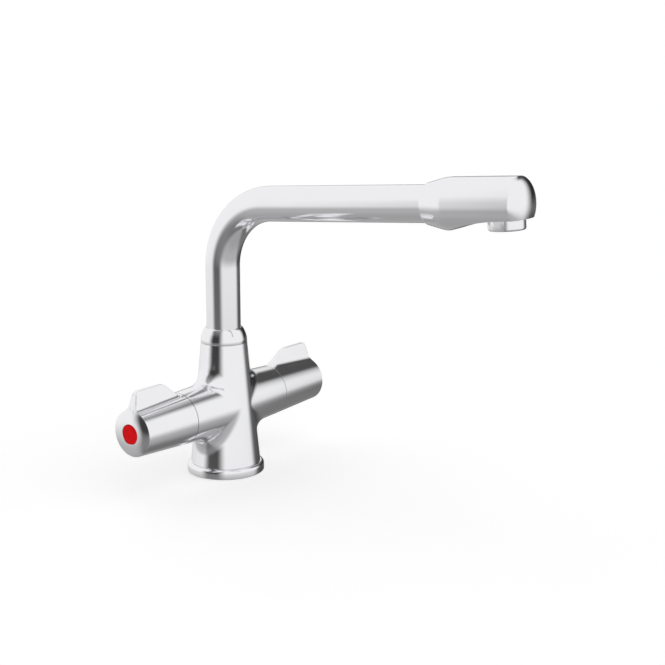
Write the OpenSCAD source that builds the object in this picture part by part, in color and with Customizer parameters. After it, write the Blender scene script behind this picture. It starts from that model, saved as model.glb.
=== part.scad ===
// Kitchen sink mixer tap: a cast body with two quarter-turn valves, lever heads and a swivel spout.
// Millimetres. The origin is the centre of the base where it meets the sink. +Z is up,
// the spout reaches towards -Y, the hot side is -X and the cold side is +X.

/* [Base] */
// Diameter of the base ring
base_d = 50; // [47:0.5:64]
// Height of the base ring
base_h = 6.2; // [5:0.1:9]
// Radius of the ring's upper edge
base_round = 2.2; // [1:0.1:3]
// Width of the ring left showing round the foot of the body
base_ledge = 2.4; // [1.5:0.1:2.6]
// Width of the rubber seal
seal_w = 3.4; // [2:0.1:4]
// Thickness of the rubber seal
seal_t = 1.2; // [0.8:0.1:2]

/* [Body] */
// Height of the seam between body and collar
body_h = 86; // [84:0.5:110]
// Diameter of the body at that seam
body_top_d = 29.8; // [29:0.1:34]
// Height of the side arms' axis
arm_h = 44; // [43:0.5:46]
// Distance from the body's axis to the seam between arm and handle
arm_len = 43.4; // [42:0.1:55]
// Diameter of the arm at that seam
arm_d = 33.1; // [32:0.1:36]
// Diameter that the arm's taper would reach on the body's axis
arm_root_d = 36.9; // [36.5:0.1:38]
// Radius of the blend between arm and body
blend_r = 12; // [6:0.5:13]

/* [Waterways] */
// Thread hole of an inlet (for an M10x1 tail)
inlet_hole_d = 9; // [8:0.1:9.4]
// Depth of an inlet's thread
inlet_thread_len = 12; // [8:0.5:16]
// Distance between the two inlets
inlet_gap = 15; // [14.6:0.1:17]
// Thread hole of the fixing stud (for an M8 stud)
stud_hole_d = 6.8; // [5:0.1:7]
// Depth of the fixing stud's thread
stud_thread_len = 14; // [8:0.5:18]
// Distance of the fixing stud behind the body's axis
stud_back = 11; // [10.5:0.1:11.5]
// Bore that leads from an inlet to its valve
inlet_bore_d = 7.6; // [5:0.1:7.8]
// Bore that leads mixed water from a valve to the riser
outlet_port_d = 5.2; // [4:0.1:5.4]
// Riser under the spout
riser_d = 12; // [8:0.1:14]

/* [Valves] */
// Pocket for the valve (half-inch pipe thread)
pocket_d = 20.6; // [20.4:0.1:21]
// Depth of that pocket
pocket_depth = 19.4; // [18.6:0.1:22]
// Bore of the valve for its ceramic discs
disc_bore_d = 15.4; // [14.6:0.1:16]
// Thickness of each ceramic disc
disc_t = 2.6; // [2:0.1:3]
// Thickness of the seat seal
seat_t = 2.2; // [1.5:0.1:2.5]
// Thickness of the gasket under the valve's flange
gasket_t = 1; // [0.6:0.1:1.5]
// Diameter of the valve's flange
flange_d = 23.6; // [23:0.1:24.4]
// Width of the valve's hexagon across its flats
hex_af = 19; // [17:0.5:20]
// Length of the hexagon
hex_len = 5; // [4:0.1:6]
// Diameter of the valve's neck
neck_d = 14; // [12.5:0.1:16]
// Length of the neck beyond the hexagon
neck_len = 6.4; // [6:0.1:7]
// Diameter of the spindle
spindle_d = 8; // [7:0.1:8.6]
// Number of splines on the spindle
spline_n = 20; // [12:1:24]
// Depth of the splines
spline_depth = 0.45; // [0.3:0.05:0.6]
// Length of the splined end
spline_len = 9; // [7:0.1:10]

/* [Handles] */
// Length of a handle from the seam to the crown of its end
handle_len = 44.2; // [43:0.1:52]
// Diameter of the barrel at its outer rim
handle_end_d = 29.2; // [28.5:0.1:32]
// Height of the crown within that rim
handle_dome = 2.3; // [1.5:0.1:3]
// Wall of the hollow barrel
handle_wall = 2.8; // [2:0.1:3.4]
// Height of the wing's top above the barrel's axis
wing_h = 26; // [22:0.5:32]
// Thickness of the wing at its top
wing_t = 2.6; // [2:0.1:5]
// How much the wing widens from its top to the barrel
wing_draft = 3.4; // [1:0.1:4]
// Radius of the blend between wing and barrel
wing_blend = 3; // [1:0.1:4]
// Distance from the seam to the start of the wing's slope
wing_start = 1.5; // [0.5:0.1:4]
// Distance from the seam to the end of that slope
wing_shoulder = 17.5; // [14:0.5:22]
// Radius of the wing's upper corner
wing_corner = 3; // [2:0.1:5]
// Lean of the wing's outer end, in degrees from upright
wing_lean = 15; // [5:1:30]
// Radius of the wing's edges
wing_edge = 0.5; // [0.2:0.1:0.9]
// Diameter of the coloured index disc
index_d = 12.4; // [10:0.1:14]
// Thickness of the index disc
index_t = 2; // [1.5:0.1:2.5]
// Shank of the handle screw
screw_d = 4; // [3.5:0.1:4.2]
// Diameter of the screw's head
screw_head_d = 7.4; // [6.5:0.1:8]
// Height of the screw's head
screw_head_h = 2.6; // [2:0.1:3]

/* [Spout] */
// Outside diameter of the spout tube
tube_d = 22; // [20:0.1:22.4]
// Wall of the spout tube
tube_wall = 1.2; // [0.8:0.1:2]
// Height at which the spout's two straight runs would meet
spout_h = 175.2; // [160:0.5:220]
// Radius of the bend, to the middle of the tube
bend_r = 44; // [34:0.5:52]
// Upward slope of the spout in degrees
spout_rise = 4.8; // [0:0.1:12]
// Height of the domed collar above the seam
collar_h = 9.8; // [8:0.1:14]
// Depth of the collar's skirt inside the body
collar_skirt = 5.4; // [4:0.1:6]
// Diameter of the foot that turns in the body
spigot_d = 24; // [23.9:0.02:24.2]
// Bore of the foot below the tube
spigot_bore_d = 16; // [14:0.1:17]
// Height of the socket that holds the foot
socket_h = 21; // [20:0.1:22]
// Thickness of the low-friction rings above and below the foot
bearing_t = 0.9; // [0.7:0.05:1.2]
// Thickness of an O-ring's section
oring_t = 1.5; // [1.2:0.05:1.7]

/* [Outlet head] */
// Distance from the vertical axis to the start of the outlet head, along the spout
nose_start = 158.1; // [130:0.5:190]
// Diameter of the outlet head
nose_d = 30.6; // [29:0.1:34]
// Step from the tube to the head's small end
nose_step = 1.2; // [0.6:0.1:2]
// Length of the head's cone
nose_cone = 12.9; // [9:0.1:16]
// Distance from the cone to the start of the flat underside
nose_ramp = 26; // [20:0.5:28]
// Length of the head from its start to its dome
nose_len = 59.4; // [56:0.1:70]
// Length of the domed end
nose_dome = 4.8; // [3:0.1:7]
// Distance of the flat underside below the spout's axis
nose_flat = 8.3; // [7.6:0.1:9.5]
// Length of tube inside the head
nose_grip = 17; // [14:0.5:20]

/* [Aerator] */
// Distance from the head's start to the aerator's axis
aerator_at = 49.9; // [48:0.1:50.5]
// Diameter of the aerator's collar
aerator_d = 21.2; // [20.4:0.1:22]
// Width across the collar's two spanner flats
aerator_af = 19.2; // [18.6:0.1:20]
// Height of the collar below the flat underside
aerator_h = 6.2; // [5:0.1:9]
// Diameter of the aerator's threaded neck
aerator_neck_d = 18.4; // [17.6:0.1:18.6]
// Length of that neck
aerator_neck = 5; // [4:0.1:5.5]
// Wall of the aerator's housing
aerator_wall = 1.2; // [0.8:0.1:1.6]
// Holes across the aerator's insert
insert_holes = 5; // [3:2:7]

/* [Hidden] */
$fn = 96;

// Clearances: a turning shaft, a fixed fit, a turning face and the seam beside a handle.
run_gap = 0.08;
fit_gap = 0.05;
face_gap = 0.1;
seam_gap = 0.25;
oring_squeeze = 0.03;
cut = 1;

// The two sides of the mixer, along X.
HOT = -1;
COLD = 1;

// Body.
foot_r = base_d / 2 - base_ledge;
foot_edge = 0.4;
body_slope = (foot_r - body_top_d / 2) / (body_h - base_h);
shoulder_w = 5.5;
plug_r = foot_r - shoulder_w;
plug_gap = 0.8;
arm_slope = (arm_root_d - arm_d) / 2 / arm_len;
seat_at = arm_len - pocket_depth;
port_rise = 0.9;
port_h = arm_h + pocket_d / 2 - outlet_port_d / 2 + port_rise;
port_overlap = 4;
skirt_bottom = body_h - collar_skirt;
socket_top = skirt_bottom - bearing_t;
socket_floor = socket_top - socket_h;
riser_floor = port_h - outlet_port_d / 2 - 0.4;
rim_w = 1.5;
skirt_d = body_top_d - 2 * rim_w;

// Spout foot, from the socket's floor upwards.
spigot_bottom = socket_floor + bearing_t + face_gap;
spigot_top = socket_top - face_gap;
cup_floor = 7.6;
tube_foot = spigot_bottom + cup_floor;
groove_w = oring_t + 0.3;
groove_d = oring_t + 0.1;
groove_land = 1;
groove_pitch = groove_w + 1.3;

// Bend of the spout.
bend_angle = 90 - spout_rise;
bend_run = bend_r * tan(bend_angle / 2);
bend_start = spout_h - bend_run;
bend_overlap = 0.3;
bend_ease = 0.01;

// Outlet head, with distances along the spout from the vertical axis.
cone_end = nose_start + nose_cone;
ramp_end = cone_end + nose_ramp;
dome_start = nose_start + nose_len;
tube_end = nose_start + nose_grip;
outlet_at = nose_start + aerator_at;
nose_oring_back = 5;
nose_oring_at = tube_end - nose_oring_back;
washer_t = 1.6;
lip_t = 1.2;
lip_w = 1;
mesh_t = 0.5;
thread_top = nose_flat - aerator_neck;

// Valve, with distances along the arm from the body's axis.
seal_end = seat_at + seat_t;
fixed_end = seal_end + disc_t;
moving_start = fixed_end + face_gap / 2;
moving_end = moving_start + disc_t;
driver_t = 2;
driver_end = moving_end + driver_t;
flange_at = arm_len + gasket_t;
flange_t = 1.4;
hex_at = flange_at + flange_t;
neck_at = hex_at + hex_len;
neck_end = neck_at + neck_len;
clip_t = 0.8;
clip_depth = 0.6;
clip_at = neck_end + face_gap;
spline_at = clip_at + clip_t + 0.5;
spline_end = spline_at + spline_len;
valve_r = pocket_d / 2 - fit_gap;
disc_r = disc_bore_d / 2 - 0.3;
stem_oring_t = 1.1;
oring_at = neck_at + neck_len / 2;

// Handle, with distances along the arm from the body's axis.
handle_at = arm_len + seam_gap;
handle_end = arm_len + handle_len;
dome_at = handle_end - handle_dome;
handle_slope = (arm_d - handle_end_d) / 2 / (dome_at - arm_len);
cavity_end = neck_end + clip_t + 1;
web_at = spline_end + 0.6;
web_t = 3.2;
head_at = web_at + web_t;
index_sink = 0.15;
index_at = handle_end - index_sink - index_t;
rim_edge = 0.3;
wing_sink = 0.08;

// Points of an arc round a centre.
function arc(cx, cy, r, from, to, n = 8) =
    [for (i = [0:n]) let (a = from + (to - from) * i / n) [cx + r * cos(a), cy + r * sin(a)]];

// Outline of a shallow dome: a tight rim and a broad crown, from radius r to the axis.
function dome(r, at, length, n = 10) =
    [for (i = [0:n]) let (a = 90 * i / n) [r * cos(a), at + length * sin(a)]];

// Outline of a crown within a crisp rim: steep at the rim and nearly flat in the middle.
function crown(r, at, length, n = 10) =
    [for (i = [0:n]) let (k = 1 - i / n) [r * k, at + length * (1 - pow(k, 4))]];

// Radius of the column at a height, and of an arm at a distance from the body's axis.
function column_at(z) = foot_r - body_slope * (z - base_h);
function arm_at(u) = arm_root_d / 2 - arm_slope * u;

// Centre of the ball that rolls round the crotch between arm and column. t is the angle round
// the arm from its top, and x the distance from the body's axis, found in a few steps.
function ball_reach(t, x, z) =
    let (reach = arm_at(x) + blend_r / cos(atan(arm_slope))) [reach * sin(t), arm_h + reach * cos(t)];
function ball_x(t, x, steps) =
    let (yz = ball_reach(t, x), ring = column_at(yz[1]) + blend_r / cos(atan(body_slope)))
    steps == 0 ? x : ball_x(t, sqrt(max(ring * ring - yz[0] * yz[0], 1)), steps - 1);
function ball(t) = let (x = ball_x(t, arm_len / 2, 12), yz = ball_reach(t, x)) [x, yz[0], yz[1]];

// Outward directions of the arm and the column where the ball touches them.
function arm_normal(t) = let (a = atan(arm_slope)) [sin(a), cos(a) * sin(t), cos(a) * cos(t)];
function column_normal(c) =
    let (a = atan(body_slope), b = atan2(c[1], c[0])) [cos(a) * cos(b), cos(a) * sin(b), sin(a)];
function unit(v) = v / norm(v);
function slerp(a, b, k) =
    let (w = acos(a * b)) (sin((1 - k) * w) * a + sin(k * w) * b) / sin(w);

// One section of the blend: an arc between the two touching points and a corner sunk in the metal.
blend_steps = 6;
blend_sections = 40;
blend_sink = 0.06;
function blend_section(t) =
    let (c = ball(t), na = -arm_normal(t), nc = -column_normal(c), out = blend_r + blend_sink)
    concat([for (k = [0:blend_steps]) c + out * slerp(na, nc, k / blend_steps)],
           [c + (blend_r + 3) * 1.42 * unit(na + nc)]);

// Places what is modelled on an arm: +Z runs outwards, +X is up and -Y points to the user.
module at_arm(side) {
    mirror([side < 0 ? 1 : 0, 0, 0])
        translate([0, 0, arm_h]) rotate([0, 90, 0]) rotate([0, 0, 180])
            children();
}

// Places what is modelled on the sloping run of the spout: -Y runs along it.
module at_spout() {
    translate([0, 0, spout_h]) rotate([-spout_rise, 0, 0]) children();
}

// Places what is modelled on the outlet: +Z runs down the water's way out of the head.
module at_outlet() {
    at_spout() translate([0, -outlet_at, 0]) rotate([180, 0, 0]) children();
}

// A plain ring along Z.
module ring(r_out, r_in, length) {
    difference() {
        cylinder(r = r_out, h = length);
        translate([0, 0, -cut]) cylinder(r = r_in, h = length + 2 * cut);
    }
}

// A rubber ring of round section, centred on z = 0.
module oring(r, section) {
    rotate_extrude() translate([r, 0]) circle(d = section, $fn = 24);
}

// A bar with splines along it.
module splined(d, depth, length) {
    root = d / 2 - depth;
    linear_extrude(length)
        polygon([for (i = [0:2 * spline_n - 1]) let (a = 180 * i / spline_n, r = i % 2 == 0 ? d / 2 : root)
                 [r * cos(a), r * sin(a)]]);
}

// Curved blend between the column and one arm, swept round the arm.
module arm_blend() {
    n = blend_steps + 2;
    points = [for (i = [0:blend_sections - 1]) each blend_section(360 * i / blend_sections)];
    faces = [for (i = [0:blend_sections - 1], k = [0:n - 1], half = [0, 1])
             let (i2 = (i + 1) % blend_sections, k2 = (k + 1) % n,
                  a = i * n + k, b = i * n + k2, c = i2 * n + k2, d = i2 * n + k)
             half == 0 ? [a, b, c] : [a, c, d]];
    polyhedron(points, faces, convexity = 6);
}

// Outside of the casting.
module body_outside() {
    rotate_extrude()
        polygon([[0, plug_gap], [plug_r, plug_gap], [plug_r, base_h], [foot_r - foot_edge, base_h],
                 [column_at(base_h + foot_edge), base_h + foot_edge], [body_top_d / 2, body_h], [0, body_h]]);
    for (side = [HOT, COLD])
        at_arm(side) cylinder(r1 = arm_root_d / 2, r2 = arm_d / 2, h = arm_len);
    for (side = [HOT, COLD]) mirror([side < 0 ? 1 : 0, 0, 0]) arm_blend();
}

// Threads, waterways and pockets inside the casting.
module body_inside() {
    for (side = [HOT, COLD]) {
        translate([side * inlet_gap / 2, 0, plug_gap - cut])
            cylinder(d = inlet_hole_d, h = inlet_thread_len + cut);
        translate([side * inlet_gap / 2, 0, plug_gap])
            cylinder(d = inlet_bore_d, h = arm_h - plug_gap);
        at_arm(side) {
            translate([0, 0, inlet_gap / 2]) cylinder(d = inlet_bore_d, h = seat_at);
            translate([0, 0, seat_at]) cylinder(d = pocket_d, h = pocket_depth + cut);
            translate([port_h - arm_h, 0, 0]) cylinder(d = outlet_port_d, h = seat_at + port_overlap);
        }
    }
    translate([0, stud_back, plug_gap - cut]) cylinder(d = stud_hole_d, h = stud_thread_len + cut);
    translate([0, 0, riser_floor]) cylinder(d = riser_d, h = body_h);
    translate([0, 0, socket_floor]) cylinder(r = spigot_d / 2 + run_gap, h = body_h);
    translate([0, 0, socket_top]) cylinder(d = skirt_d, h = body_h);
}

module body() {
    color("gainsboro") difference() {
        body_outside();
        body_inside();
    }
}

// Plinth ring with a rounded upper edge and a groove for the seal in its underside.
module base_ring() {
    inner = plug_r + fit_gap;
    outer = base_d / 2;
    seal_at = (inner + outer) / 2;
    color("silver") rotate_extrude()
        polygon(concat([[inner, 0], [seal_at - seal_w / 2 - fit_gap, 0],
                        [seal_at - seal_w / 2 - fit_gap, seal_t + fit_gap],
                        [seal_at + seal_w / 2 + fit_gap, seal_t + fit_gap],
                        [seal_at + seal_w / 2 + fit_gap, 0], [outer - 0.8, 0], [outer, 0.8]],
                       arc(outer - base_round, base_h - base_round, base_round, 0, 90, 6),
                       [[inner, base_h]]));
}

module base_seal() {
    seal_at = (plug_r + fit_gap + base_d / 2) / 2;
    color("dimgray") translate([0, 0, fit_gap])
        ring(seal_at + seal_w / 2, seal_at - seal_w / 2, seal_t);
}

// Domed ring that screws into the body and keeps the spout's foot down.
module spout_collar() {
    bore = tube_d / 2 + run_gap;
    lip = bore + 0.35;
    edge_h = 2;
    edge = 0.3;
    color("gainsboro") rotate_extrude()
        polygon(concat([[bore, skirt_bottom], [skirt_d / 2 - fit_gap, skirt_bottom],
                        [skirt_d / 2 - fit_gap, body_h + fit_gap], [body_top_d / 2 - edge, body_h + fit_gap],
                        [body_top_d / 2, body_h + fit_gap + edge]],
                       [for (i = [0:8]) let (a = 90 * i / 8)
                        [lip + (body_top_d / 2 - lip) * cos(a),
                         body_h + edge_h + (collar_h - edge_h) * sin(a)]],
                       [[bore, body_h + collar_h]]));
}

module spout_bearing_ring() {
    color("ivory") translate([0, 0, socket_top])
        ring(skirt_d / 2 - fit_gap, tube_d / 2 + 2 * run_gap, skirt_bottom - socket_top);
}

module spout_thrust_washer() {
    color("ivory") translate([0, 0, socket_floor]) ring(spigot_d / 2 - 0.1, spigot_bore_d / 2, bearing_t);
}

// The bent path of the tube, for a bar of the given radius. The straight runs are a hair thinner
// than the bend and reach a little way into it.
module spout_bar(r, overrun) {
    translate([0, 0, tube_foot - overrun])
        cylinder(r = r - bend_ease, h = bend_start - tube_foot + overrun + bend_overlap);
    translate([0, -bend_r, bend_start]) rotate([90, 0, 90]) rotate_extrude(angle = bend_angle)
        translate([bend_r, 0]) circle(r = r);
    at_spout() translate([0, bend_overlap - bend_run, 0]) rotate([90, 0, 0])
        cylinder(r = r - bend_ease, h = tube_end - bend_run + overrun + bend_overlap);
}

module spout_tube() {
    color("gainsboro") difference() {
        spout_bar(tube_d / 2, 0);
        spout_bar(tube_d / 2 - tube_wall, cut);
    }
}

// Brass foot of the spout, with a cup for the tube and two grooves for O-rings.
module spout_spigot() {
    r = spigot_d / 2;
    cup = tube_d / 2 + fit_gap;
    color("goldenrod") rotate_extrude()
        polygon(concat([[spigot_bore_d / 2, spigot_bottom]],
                       [for (i = [0, 1], p = [[0, 0], [groove_d, 0], [groove_d, groove_w], [0, groove_w]])
                        [r - p[0], spigot_bottom + groove_land + i * groove_pitch + p[1]]],
                       [[r, spigot_top], [cup, spigot_top], [cup, tube_foot - fit_gap],
                        [spigot_bore_d / 2, tube_foot - fit_gap]]));
}

module spout_orings() {
    color("black") for (i = [0, 1])
        translate([0, 0, spigot_bottom + groove_land + groove_w / 2 + i * groove_pitch])
            oring((spigot_d - oring_t) / 2 + oring_squeeze, oring_t);
}

// Outside of the outlet head along the spout, with +Z running outwards and +X down.
module nose_outside() {
    r = nose_d / 2;
    below = nose_d;
    difference() {
        translate([0, 0, nose_start])
            rotate_extrude() polygon(concat([[0, 0], [tube_d / 2 + 0.3, 0], [tube_d / 2 + nose_step, 1.2],
                                             [r, nose_cone]],
                                            dome(r, nose_len, nose_dome)));
        rotate([90, 0, 0]) linear_extrude(2 * below, center = true)
            polygon([[r, cone_end], [nose_flat, ramp_end], [nose_flat, dome_start + nose_dome + cut],
                     [below, dome_start + nose_dome + cut], [below, cone_end]]);
    }
}

// Outlet head: a cup for the tube, a chamber beyond it and a threaded way down for the aerator.
module spout_nose() {
    chamber_r = (tube_d / 2 - tube_wall) * 0.75;
    chamber_len = aerator_at + chamber_r * 0.9;
    grip_r = tube_d / 2 + fit_gap;
    outlet_r = aerator_neck_d / 2 - washer_t;
    color("gainsboro") difference() {
        at_spout() rotate([90, 0, 0]) rotate([0, 0, -90]) nose_outside();
        at_spout() rotate([90, 0, 0]) {
            translate([0, 0, nose_start - cut]) cylinder(r = grip_r, h = nose_grip + cut + fit_gap);
            translate([0, 0, nose_start]) cylinder(r = chamber_r, h = chamber_len);
            translate([0, 0, nose_oring_at]) cylinder(r = grip_r + 1, h = groove_w);
        }
        at_outlet() cylinder(r = outlet_r, h = nose_flat + cut);
        at_outlet() translate([0, 0, thread_top - washer_t])
            cylinder(r = aerator_neck_d / 2 + fit_gap, h = aerator_neck + washer_t + cut);
    }
}

module nose_oring() {
    section = oring_t * 0.7;
    color("black") at_spout() rotate([90, 0, 0]) translate([0, 0, nose_oring_at + groove_w / 2])
        oring(tube_d / 2 + section / 2, section);
}

// Chrome collar with two flats and a neck that screws up into the head.
module aerator_housing() {
    neck = aerator_neck_d / 2;
    inner = neck - aerator_wall;
    outer = aerator_d / 2;
    bottom = nose_flat + aerator_h;
    color("silver") at_outlet() intersection() {
        rotate_extrude()
            polygon(concat([[inner, thread_top], [neck, thread_top], [neck, nose_flat + fit_gap],
                            [outer, nose_flat + fit_gap]],
                           arc(outer - lip_t, bottom - lip_t, lip_t, 0, 90, 5),
                           [[inner - lip_w, bottom], [inner - lip_w, bottom - lip_t],
                            [inner, bottom - lip_t]]));
        translate([-aerator_af / 2, -aerator_d, 0]) cube([aerator_af, 2 * aerator_d, bottom + cut]);
    }
}

module aerator_washer() {
    r = aerator_neck_d / 2 - fit_gap;
    color("dimgray") at_outlet() translate([0, 0, thread_top - washer_t])
        ring(r, r - 2 * aerator_wall, washer_t - fit_gap);
}

// Screen over the insert, with a grid of square openings.
module aerator_mesh() {
    r = aerator_neck_d / 2 - aerator_wall - fit_gap;
    rim = 1.3;
    pitch = 1.6;
    hole = 1.1;
    n = floor((r - rim) / pitch);
    color("lightgray") at_outlet() translate([0, 0, thread_top + fit_gap]) difference() {
        cylinder(r = r, h = mesh_t);
        for (i = [-n:n], j = [-n:n])
            if (norm([i, j]) * pitch < r - rim)
                translate([i * pitch - hole / 2, j * pitch - hole / 2, -cut])
                    cube([hole, hole, mesh_t + 2 * cut]);
    }
}

// Flow straightener: a plug with a grid of round holes.
module aerator_insert() {
    r = aerator_neck_d / 2 - aerator_wall - fit_gap;
    bottom = nose_flat + aerator_h - lip_t - fit_gap;
    top = thread_top + mesh_t + 2 * fit_gap;
    pitch = (2 * r - 2) / insert_holes;
    hole = 0.72 * pitch;
    half = (insert_holes - 1) / 2;
    color("white") at_outlet() difference() {
        translate([0, 0, top]) cylinder(r = r, h = bottom - top);
        for (i = [-half:half], j = [-half:half])
            if (norm([i, j]) * pitch < r - pitch / 2)
                translate([i * pitch, j * pitch, top - cut])
                    cylinder(d = hole, h = bottom - top + 2 * cut, $fn = 24);
    }
}

// Gasket between the arm's end and the valve's flange.
module valve_gasket(side) {
    color("saddlebrown") at_arm(side) translate([0, 0, arm_len]) ring(flange_d / 2, pocket_d / 2, gasket_t);
}

// Valve body: windows beside the discs, a flange, a hexagon and a neck round the spindle.
module valve_housing(side) {
    window_at = moving_start + 0.6;
    window_len = driver_end - window_at - 0.6;
    window_w = 6;
    sleeve_r = disc_bore_d / 2 + 1.3;
    thread_at = driver_end + 1;
    color("goldenrod") at_arm(side) difference() {
        union() {
            translate([0, 0, seat_at + fit_gap]) cylinder(r = sleeve_r, h = arm_len - seat_at);
            translate([0, 0, thread_at]) cylinder(r = valve_r, h = flange_at - thread_at);
            translate([0, 0, flange_at]) cylinder(d = flange_d, h = flange_t);
            translate([0, 0, hex_at]) cylinder(d = hex_af / cos(30), h = hex_len, $fn = 6);
            translate([0, 0, neck_at]) cylinder(d = neck_d, h = neck_len);
        }
        translate([0, 0, seat_at - cut]) cylinder(d = disc_bore_d, h = driver_end - seat_at + face_gap + cut);
        translate([0, 0, seat_at]) cylinder(r = spindle_d / 2 + run_gap, h = neck_end);
        for (turn = [0, 90]) rotate([0, 0, turn])
            translate([-pocket_d, -window_w / 2, window_at]) cube([2 * pocket_d, window_w, window_len]);
    }
}

// Rubber ring between the valve and the end of its pocket.
module seat_seal(side) {
    color("black") at_arm(side) translate([0, 0, seat_at])
        ring(disc_bore_d / 2 - fit_gap, inlet_bore_d / 2, seat_t - fit_gap);
}

// Two opposite openings through a ceramic disc.
module disc_openings() {
    inner = 1.6;
    outer = disc_r - 1.5;
    spread = 38;
    for (turn = [0, 180]) rotate([0, 0, turn]) translate([0, 0, -cut]) linear_extrude(disc_t + 2 * cut)
        polygon(concat(arc(0, 0, outer, -spread, spread, 8), arc(0, 0, inner, spread, -spread, 4)));
}

module fixed_disc(side) {
    color("ivory") at_arm(side) translate([0, 0, seal_end]) difference() {
        cylinder(r = disc_r, h = disc_t);
        disc_openings();
    }
}

// Turns with the spindle and shuts the fixed disc while the wing stands up.
module moving_disc(side) {
    color("ivory") at_arm(side) translate([0, 0, moving_start]) difference() {
        cylinder(r = disc_r, h = disc_t);
        rotate([0, 0, 90]) disc_openings();
    }
}

// Spindle: a driver disc, a stem with an O-ring groove and a clip groove, and a splined end.
module spindle(side) {
    r = spindle_d / 2;
    driver_r = disc_r - 0.2;
    groove_r = r - stem_oring_t;
    clip_end = clip_at + clip_t + fit_gap;
    waist_r = r - spline_depth - 0.15;
    color("goldenrod") at_arm(side) difference() {
        union() {
            rotate_extrude()
                polygon([[0, moving_end], [driver_r, moving_end], [driver_r, driver_end], [r, driver_end],
                         [r, oring_at - stem_oring_t], [groove_r, oring_at - stem_oring_t],
                         [groove_r, oring_at + stem_oring_t], [r, oring_at + stem_oring_t],
                         [r, clip_at], [r - clip_depth, clip_at], [r - clip_depth, clip_end],
                         [waist_r, clip_end], [waist_r, spline_at + cut], [0, spline_at + cut]]);
            translate([0, 0, spline_at]) splined(spindle_d, spline_depth, spline_len);
        }
        translate([0, 0, spline_at + cut]) cylinder(r = screw_d / 2 + fit_gap, h = spline_len);
    }
}

module spindle_oring(side) {
    color("black") at_arm(side) translate([0, 0, oring_at])
        oring((spindle_d - stem_oring_t) / 2 + oring_squeeze, stem_oring_t);
}

// Open ring that stops the spindle sliding back into the valve.
module spindle_clip(side) {
    inner = spindle_d / 2 - clip_depth + fit_gap;
    gap = 3;
    color("gray") at_arm(side) translate([0, 0, clip_at]) difference() {
        ring(inner + 1.8, inner, clip_t);
        translate([0, -gap / 2, -cut]) cube([spindle_d, gap, clip_t + 2 * cut]);
    }
}

// Side view of the wing: distance along the arm against height above its axis. It climbs in a soft
// slope, turns its corner and comes down to the barrel's rim.
function wing_outline() =
    let (ramp = arm_len + wing_start, shoulder = arm_len + wing_shoulder, foot = arm_d / 2 - wing_sink,
         rim = [dome_at, handle_end_d / 2 - rim_edge],
         corner_h = wing_h - wing_corner,
         corner_at = rim[0] - wing_corner * cos(wing_lean)
                     - tan(wing_lean) * (corner_h + wing_corner * sin(wing_lean) - rim[1]))
    concat([[ramp, 0], [ramp, foot]],
           [for (i = [1:6]) let (k = i / 6, bow = k * k * (3 - 2 * k))
            [ramp + (shoulder - ramp) * k, foot + (wing_h - foot) * bow]],
           arc(corner_at, corner_h, wing_corner, 90, wing_lean, 5),
           [rim, [rim[0], 0]]);

// Upright blade of the wing and the two blends at its foot, cut to the side view.
module wing() {
    half = wing_t / 2;
    r = arm_d / 2;
    blend = wing_blend - wing_sink;
    draft = atan(wing_draft / 2 / (wing_h - r));
    flank = half * cos(draft) + wing_h * sin(draft);
    climb = sqrt(pow(r + blend, 2) - pow(flank + blend, 2));
    across = (flank + blend) * cos(draft) - climb * sin(draft);
    up = (flank + blend) * sin(draft) + climb * cos(draft);
    lean = atan2(up, across);
    foot = half + wing_h * tan(draft);
    intersection() {
        rotate([90, 0, 0]) rotate([0, 0, 90]) mirror([0, 1, 0])
            linear_extrude(arm_d, center = true) polygon(wing_outline());
        translate([0, 0, arm_len]) rotate([0, 0, -90]) union() {
            linear_extrude(handle_len)
                polygon(concat([[-foot, 0], [foot, 0]],
                               arc(half - wing_edge, wing_h - wing_edge, wing_edge, draft, 90, 3),
                               arc(wing_edge - half, wing_h - wing_edge, wing_edge, 90, 180 - draft, 3)));
            rotate([atan(handle_slope), 0, 0]) linear_extrude(handle_len)
                polygon(concat(arc(across, up, blend, 180 + lean, 180 + draft, 5),
                               arc(-across, up, blend, -draft, -lean, 5), [[0, 0]]));
        }
    }
}

// Lever head: a tapered barrel with a domed end and a wing, hollow round the valve's neck.
module handle(side) {
    r = arm_d / 2;
    rim = 0.4;
    splines = spindle_d + 2 * fit_gap;
    head_r = screw_head_d / 2 + 0.4;
    color("gainsboro") at_arm(side) difference() {
        union() {
            rotate_extrude()
                polygon(concat([[0, handle_at], [r - rim, handle_at], [r, handle_at + rim],
                                [handle_end_d / 2, dome_at - rim_edge]],
                               crown(handle_end_d / 2 - rim_edge, dome_at, handle_dome)));
            wing();
        }
        translate([0, 0, arm_len - cut]) cylinder(r = r - handle_wall, h = cavity_end - arm_len + cut);
        translate([0, 0, cavity_end - cut]) splined(splines, spline_depth, web_at - cavity_end + cut);
        translate([0, 0, cavity_end]) cylinder(r = screw_d / 2 + fit_gap, h = handle_len);
        translate([0, 0, head_at]) cylinder(r = head_r, h = handle_len);
        translate([0, 0, index_at - fit_gap]) cylinder(r = index_d / 2 + fit_gap, h = handle_len);
    }
}

// Cross-slotted pan-head screw that holds the handle on its splines.
module handle_screw(side) {
    slot = 1;
    slot_len = screw_head_d * 0.7;
    slot_depth = 1.2;
    tip = spline_at + 2;
    under = head_at + fit_gap;
    color("gray") at_arm(side) difference() {
        union() {
            translate([0, 0, tip]) cylinder(d = screw_d, h = under - tip);
            translate([0, 0, under]) cylinder(d = screw_head_d, h = screw_head_h);
        }
        for (turn = [0, 90]) rotate([0, 0, turn])
            translate([-slot_len / 2, -slot / 2, under + screw_head_h - slot_depth])
                cube([slot_len, slot, slot_depth + cut]);
    }
}

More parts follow.
